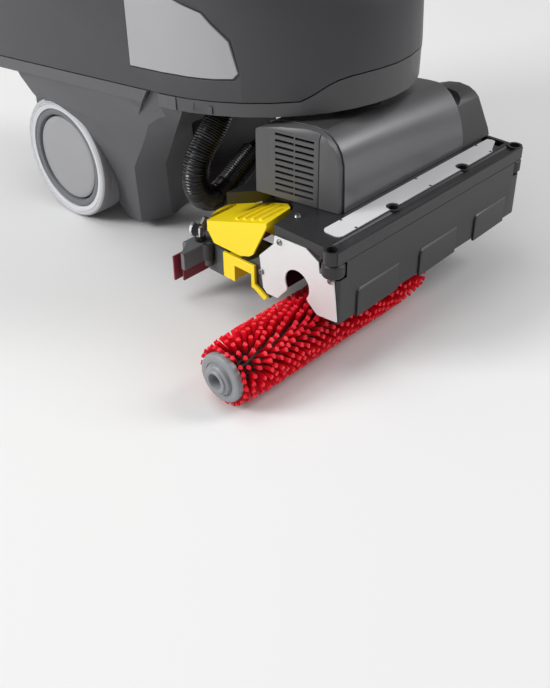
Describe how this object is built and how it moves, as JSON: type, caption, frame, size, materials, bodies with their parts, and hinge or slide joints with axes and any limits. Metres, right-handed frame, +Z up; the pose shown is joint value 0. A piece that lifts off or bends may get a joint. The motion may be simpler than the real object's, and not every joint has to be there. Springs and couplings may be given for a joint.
{
  "type": "walk-behind floor scrubber",
  "caption": "Compact walk-behind scrubber dryer: tank body on rear wheels, swivelling roller-brush head with the red brush drawn half out, suction bar, hose and fold-down handle.",
  "frame": {"origin": "centre of the box's base, on the floor plane", "axes": "+Z up, -Y toward the brush head at the front, +X toward the machine's left side; the brush leaves the head toward -X"},
  "size_m": [0.6082, 1.1966, 1.0304],
  "materials": {
    "chassis_grey": "matte",
    "skirt_black": "satin",
    "tank_dark": "fine grain",
    "panel_grey": "satin",
    "battery_case": "matte",
    "turbine_case": "matte",
    "axle_steel": "turned",
    "yoke_steel": "powder coated",
    "handle_metal": "powder coated",
    "tyre_rubber": "soft light tread",
    "rim_grey": "matte",
    "cap_grey": "satin",
    "castor_black": "matte",
    "head_dark": "satin",
    "gloss_cover": "glossy",
    "strip_metal": "satin",
    "plate_stainless": "satin",
    "motor_metal": "cast",
    "belt_rubber": "matte",
    "pipe_blue": "matte",
    "control_yellow": "satin",
    "roller_grey": "matte",
    "frame_grey": "satin",
    "lip_red": "matte",
    "knob_silver": "polished",
    "hose_black": "satin",
    "hub_grey": "satin",
    "core_black": "matte",
    "bristle_red": "satin",
    "grip_black": "soft",
    "panel_dark": "matte",
    "button_green": "satin"
  },
  "bodies": {
    "chassis": {"chassis_shell": "chassis_grey", "front_skirt": "skirt_black", "kingpin": "axle_steel", "fresh_water_tank": "tank_dark", "side_panel_right": "panel_grey", "side_panel_left": "panel_grey", "battery_pack": "battery_case", "suction_turbine": "turbine_case", "rear_axle": "axle_steel", "hose_socket": "hose_black", "handle_bracket": "handle_metal", "suction_hose": "hose_black"},
    "wheel_right": {"tyre_right": "tyre_rubber", "rim_right": "rim_grey", "hub_cap_right": "cap_grey"},
    "wheel_left": {"tyre_left": "tyre_rubber", "rim_left": "rim_grey", "hub_cap_left": "cap_grey"},
    "castor_right": {"castor_wheel_right": "castor_black"},
    "castor_left": {"castor_wheel_left": "castor_black"},
    "fill_cap": {"fill_cap": "control_yellow"},
    "drain_plug": {"drain_plug": "hose_black"},
    "dirty_tank": {"dirty_tank": "tank_dark"},
    "tank_lid": {"tank_lid": "tank_dark"},
    "swivel": {"lift_yoke": "yoke_steel"},
    "head": {"brush_chamber": "head_dark", "deck_plate": "head_dark", "deck_strip": "strip_metal", "side_plate": "plate_stainless", "motor_cover": "gloss_cover", "louvre_housing": "head_dark", "belt_cover": "head_dark", "drive_motor": "motor_metal", "drive_belt": "belt_rubber", "spray_bar": "pipe_blue", "latch_block": "head_dark"},
    "dog": {"drive_dog": "motor_metal"},
    "pulley": {"motor_pulley": "motor_metal"},
    "pedal": {"pedal": "control_yellow"},
    "lever": {"release_lever": "control_yellow"},
    "corner_right": {"corner_roller_right": "roller_grey"},
    "corner_left": {"corner_roller_left": "roller_grey"},
    "guide": {"guide_roller": "roller_grey"},
    "squeegee": {"squeegee_frame": "frame_grey", "squeegee_lip_front": "lip_red", "squeegee_lip_rear": "lip_red", "suction_nozzle": "hose_black"},
    "knob_right": {"squeegee_knob_right": "knob_silver"},
    "knob_left": {"squeegee_knob_left": "knob_silver"},
    "roller_end": {"roller_hub": "hub_grey"},
    "roller": {"roller_core": "core_black", "bristle_sleeve": "bristle_red"},
    "handle": {"handle_column": "handle_metal"},
    "steering": {"handlebar": "grip_black", "control_panel": "panel_dark"},
    "dial": {"mode_dial": "control_yellow"},
    "start": {"start_button": "button_green"},
    "trigger_r": {"trigger_right": "control_yellow"},
    "trigger_l": {"trigger_left": "control_yellow"}
  },
  "joints": [
    {"name": "wheel_spin_right", "type": "hinge", "parent": "chassis", "child": "wheel_right", "pos_m": [-0.08813, 0.02309, 0.1], "axis": [1, 0, 0], "continuous": true},
    {"name": "wheel_spin_left", "type": "hinge", "parent": "chassis", "child": "wheel_left", "pos_m": [0.19187, 0.02309, 0.1], "axis": [1, 0, 0], "continuous": true},
    {"name": "castor_spin_right", "type": "hinge", "parent": "chassis", "child": "castor_right", "pos_m": [-0.01413, -0.08891, 0.022], "axis": [1, 0, 0], "continuous": true},
    {"name": "castor_spin_left", "type": "hinge", "parent": "chassis", "child": "castor_left", "pos_m": [0.11787, -0.08891, 0.022], "axis": [1, 0, 0], "continuous": true},
    {"name": "fill_cap_turn", "type": "hinge", "parent": "chassis", "child": "fill_cap", "pos_m": [0.05187, -0.36891, 0.512], "axis": [0, 0, 1], "range_deg": [0, 90]},
    {"name": "drain_plug_pull", "type": "slide", "parent": "chassis", "child": "drain_plug", "axis": [0, 1, 0], "range_m": [0, 0.03]},
    {"name": "dirty_tank_lift", "type": "slide", "parent": "chassis", "child": "dirty_tank", "axis": [0, 0, 1], "range_m": [0, 0.15]},
    {"name": "lid_open", "type": "hinge", "parent": "dirty_tank", "child": "tank_lid", "pos_m": [0.05187, 0.21309, 0.661], "axis": [1, 0, 0], "range_deg": [-80, 0]},
    {"name": "head_swivel", "type": "hinge", "parent": "chassis", "child": "swivel", "pos_m": [0.05187, -0.44691, 0.29], "axis": [0, 0, 1], "range_deg": [-30, 30]},
    {"name": "head_lift", "type": "slide", "parent": "swivel", "child": "head", "axis": [0, 0, 1], "range_m": [-0.004, 0]},
    {"name": "squeegee_lift", "type": "slide", "parent": "swivel", "child": "squeegee", "axis": [0, 0, 1], "range_m": [-0.0315, 0], "deforming": ["suction_hose"]},
    {"name": "knob_turn_right", "type": "hinge", "parent": "squeegee", "child": "knob_right", "pos_m": [-0.12413, -0.31291, 0.1], "axis": [0, 0, 1], "range_deg": [0, 90]},
    {"name": "knob_turn_left", "type": "hinge", "parent": "squeegee", "child": "knob_left", "pos_m": [0.22787, -0.31291, 0.1], "axis": [0, 0, 1], "range_deg": [0, 90]},
    {"name": "roller_draw", "type": "slide", "parent": "swivel", "child": "roller_end", "axis": [1, 0, 0], "range_m": [0, 0.15]},
    {"name": "roller_spin", "type": "hinge", "parent": "roller_end", "child": "roller", "pos_m": [-0.10813, -0.52891, 0.0454], "axis": [1, 0, 0], "continuous": true},
    {"name": "pedal_press", "type": "hinge", "parent": "head", "child": "pedal", "pos_m": [-0.11813, -0.36891, 0.125], "axis": [1, 0, 0], "range_deg": [0, 8], "stiffness_Nm_per_rad": 15, "springref_deg": -5.73},
    {"name": "lever_drop", "type": "slide", "parent": "head", "child": "lever", "axis": [0, 0, 1], "range_m": [-0.012, 0]},
    {"name": "corner_roller_spin_right", "type": "hinge", "parent": "head", "child": "corner_right", "pos_m": [-0.14713, -0.58291, 0.16], "axis": [0, 0, 1], "continuous": true},
    {"name": "corner_roller_spin_left", "type": "hinge", "parent": "head", "child": "corner_left", "pos_m": [0.25087, -0.58291, 0.16], "axis": [0, 0, 1], "continuous": true},
    {"name": "guide_roller_spin", "type": "hinge", "parent": "head", "child": "guide", "pos_m": [-0.15213, -0.36091, 0.098], "axis": [0, 0, 1], "continuous": true},
    {"name": "drive_dog_spin", "type": "hinge", "parent": "head", "child": "dog", "pos_m": [0.23187, -0.52891, 0.117], "axis": [1, 0, 0], "continuous": true},
    {"name": "motor_pulley_spin", "type": "hinge", "parent": "head", "child": "pulley", "pos_m": [0.24187, -0.49291, 0.226], "axis": [1, 0, 0], "continuous": true},
    {"name": "handle_fold", "type": "hinge", "parent": "chassis", "child": "handle", "pos_m": [0.05187, 0.24909, 0.205], "axis": [1, 0, 0], "range_deg": [-60, 0]},
    {"name": "steering_turn", "type": "hinge", "parent": "handle", "child": "steering", "pos_m": [0.05187, 0.51509, 0.96], "axis": [0, 0, 1], "range_deg": [-30, 30]},
    {"name": "mode_dial_turn", "type": "hinge", "parent": "steering", "child": "dial", "pos_m": [0.01787, 0.51709, 1.006], "axis": [0, -0.3523, 0.9359], "range_deg": [-120, 120]},
    {"name": "start_button_press", "type": "slide", "parent": "steering", "child": "start", "axis": [0, -0.3523, 0.9359], "range_m": [-0.003, 0], "stiffness_N_per_m": 400, "springref_m": 0.001},
    {"name": "trigger_squeeze_right", "type": "hinge", "parent": "steering", "child": "trigger_r", "pos_m": [-0.09413, 0.54309, 0.971], "axis": [0, 1, 0], "range_deg": [0, 8], "stiffness_Nm_per_rad": 1.5, "springref_deg": -8.59},
    {"name": "trigger_squeeze_left", "type": "hinge", "parent": "steering", "child": "trigger_l", "pos_m": [0.19787, 0.54309, 0.971], "axis": [0, -1, 0], "range_deg": [0, 8], "stiffness_Nm_per_rad": 1.5, "springref_deg": -8.59}
  ],
  "couplings": [
    {"joint": "lever_drop", "follows": "pedal_press", "m_per_rad": -0.0859},
    {"joint": "steering_turn", "follows": "head_swivel", "ratio": 1},
    {"joint": "motor_pulley_spin", "follows": "drive_dog_spin", "ratio": 1.75}
  ]
}
